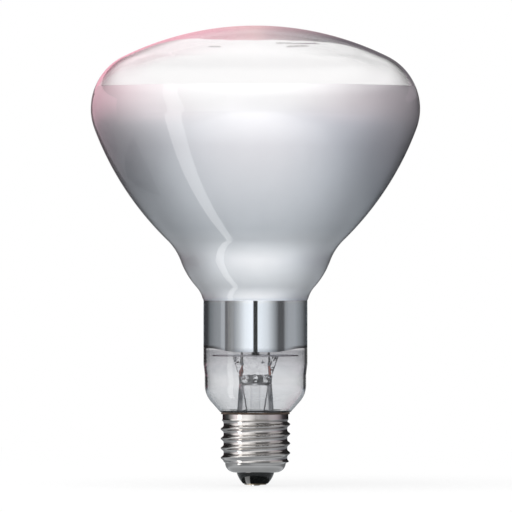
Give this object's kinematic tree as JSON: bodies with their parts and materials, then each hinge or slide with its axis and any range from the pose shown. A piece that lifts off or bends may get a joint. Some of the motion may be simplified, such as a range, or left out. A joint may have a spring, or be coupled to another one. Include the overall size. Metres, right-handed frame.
{
  "type": "infrared heat lamp bulb",
  "caption": "Infrared reflector lamp: clear domed face, silvered bowl and neck, glass stem with wires and a ring filament inside, and a screw cap with a black insulator.",
  "frame": {"origin": "lowest point of the centre contact, on the lamp's axis", "axes": "+Z along the lamp's axis from the cap to the domed face; X runs through the two lead wires; -Y is the side seen in the picture"},
  "size_m": [0.125, 0.125, 0.1744],
  "materials": {
    "clear_glass": "clear, glossy",
    "mirror_film": "satin silver on the bowl, bright in the neck",
    "cap_metal": "nickel plated, worn bright",
    "black_glass": "opaque black, glossy",
    "cement": "brown, matt",
    "contact_metal": "plain",
    "solder": "dull silver",
    "lead_metal": "drawn wire",
    "seal_copper": "reddish, dull",
    "shield_metal": "plain sheet",
    "tungsten": "dark grey"
  },
  "bodies": {
    "root": {"glass_bowl": "clear_glass", "glass_throat": "clear_glass", "glass_neck": "clear_glass", "mirror_coating": "mirror_film", "cap_cement": "cement", "cap_shell": "cap_metal", "cap_insulator": "black_glass", "contact_plate": "contact_metal", "centre_solder": "solder", "side_solder": "solder", "stem": "clear_glass", "exhaust_tube": "clear_glass", "arbor_rod": "clear_glass", "deflector_disc": "shield_metal", "lead_wire_left": "lead_metal", "lead_wire_right": "lead_metal", "seal_wire_left": "seal_copper", "seal_wire_right": "seal_copper", "outer_lead_centre": "lead_metal", "outer_lead_side": "lead_metal", "lead_clamp_left": "lead_metal", "lead_clamp_right": "lead_metal", "filament": "tungsten", "filament_support_1": "tungsten", "filament_support_2": "tungsten", "filament_support_3": "tungsten", "filament_support_4": "tungsten", "filament_support_5": "tungsten"}
  },
  "joints": []
}
